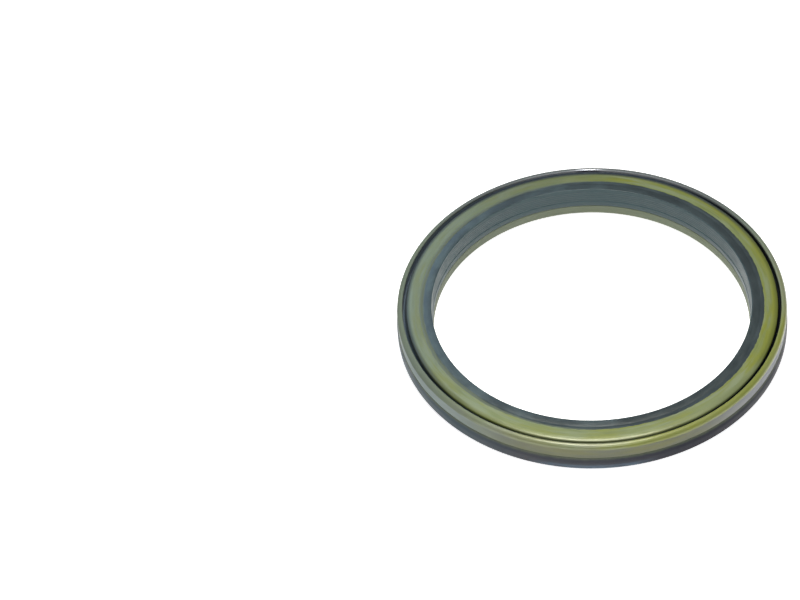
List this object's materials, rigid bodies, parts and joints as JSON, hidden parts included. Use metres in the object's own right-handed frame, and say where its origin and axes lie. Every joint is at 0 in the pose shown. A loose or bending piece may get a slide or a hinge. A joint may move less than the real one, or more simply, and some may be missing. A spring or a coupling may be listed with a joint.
{
  "type": "oil seal",
  "caption": "Cassette oil seal: a steel case with a rubber jacket and inner lips, round a flanged, rubber-lined sleeve that turns with the shaft.",
  "frame": {"origin": "on the shaft's axis, in the plane of the jacket's crest that the seal lies on", "axes": "+Z along the shaft's axis, from the oil side to the sleeve's flange; X and Y are alike"},
  "size_m": [0.16, 0.16, 0.0155],
  "materials": {
    "case_lacquer": "satin",
    "jacket_rubber": "satin",
    "lip_rubber": "matt",
    "spring_steel": "bright",
    "sleeve_lacquer": "satin",
    "lining_rubber": "satin"
  },
  "bodies": {
    "case": {"outer_case": "case_lacquer", "outer_jacket": "jacket_rubber", "lip_ring": "lip_rubber", "garter_spring": "spring_steel"},
    "sleeve": {"inner_sleeve": "sleeve_lacquer", "sleeve_lining": "lining_rubber"}
  },
  "joints": [
    {"name": "sleeve_spin", "type": "hinge", "parent": "case", "child": "sleeve", "pos_m": [0, 0, 0.0075], "axis": [0, 0, 1], "continuous": true}
  ]
}
